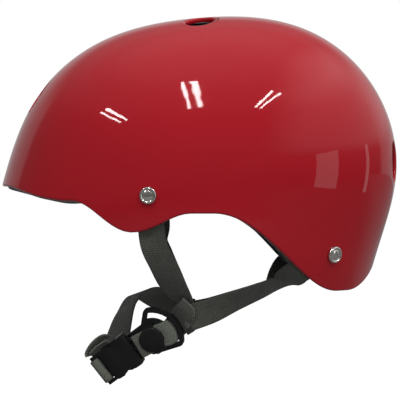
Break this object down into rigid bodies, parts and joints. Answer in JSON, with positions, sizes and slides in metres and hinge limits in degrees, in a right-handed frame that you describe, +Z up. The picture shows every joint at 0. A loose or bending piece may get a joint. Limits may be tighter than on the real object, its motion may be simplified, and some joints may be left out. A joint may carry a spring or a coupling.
{
  "type": "skate helmet",
  "caption": "Hard-shell skate and multi-sport helmet with foam liner, comfort pads, riveted webbing harness and a side-release chin buckle.",
  "frame": {"origin": "middle of the headband plane on the helmet's middle plane, where the wearer's head is seated", "axes": "+Z up towards the crown, -Y towards the brow, +X towards the wearer's left"},
  "size_m": [0.2154, 0.2793, 0.2561],
  "materials": {
    "shell_red": "high gloss moulded ABS",
    "liner_foam": "black expanded polystyrene bead foam",
    "pad_fabric": "brushed black tricot over soft foam",
    "hook_disc": "black hook tape",
    "nickel": "nickel-plated steel",
    "webbing": "charcoal woven webbing",
    "buckle_black": "black acetal"
  },
  "bodies": {
    "root": {"outer_shell": "shell_red", "foam_liner": "liner_foam", "brow_pad": "pad_fabric", "nape_pad": "pad_fabric", "side_pad_left": "pad_fabric", "side_pad_right": "pad_fabric", "crown_pad": "pad_fabric", "pad_hook_discs": "hook_disc", "rivet_front_left": "nickel", "rivet_front_right": "nickel", "rivet_rear_left": "nickel", "rivet_rear_right": "nickel", "rivet_washers": "nickel", "front_strap_left": "webbing", "front_strap_right": "webbing", "rear_strap_left": "webbing", "rear_strap_right": "webbing", "chin_strap_left": "webbing", "chin_strap_right": "webbing", "buckle_frame": "buckle_black"},
    "socket_half": {"buckle_socket": "buckle_black", "chin_strap_tail": "webbing"},
    "prong_upper": {"buckle_prong_upper": "buckle_black"},
    "prong_lower": {"buckle_prong_lower": "buckle_black"}
  },
  "joints": [
    {"name": "buckle_release", "type": "slide", "parent": "root", "child": "socket_half", "axis": [-0.2516, -0.7743, -0.5807], "range_m": [0, 0.022], "deforming": ["chin_strap_right", "buckle_prong_upper", "buckle_prong_lower"]},
    {"name": "prong_squeeze_upper", "type": "hinge", "parent": "root", "child": "prong_upper", "pos_m": [0.06499, -0.04528, -0.11773], "axis": [0.9651, -0.1555, -0.2107], "range_deg": [0, 9], "stiffness_Nm_per_rad": 0.5},
    {"name": "prong_squeeze_lower", "type": "hinge", "parent": "root", "child": "prong_lower", "pos_m": [0.06417, -0.03841, -0.12653], "axis": [-0.9651, 0.1555, 0.2107], "range_deg": [0, 9], "stiffness_Nm_per_rad": 0.5}
  ]
}
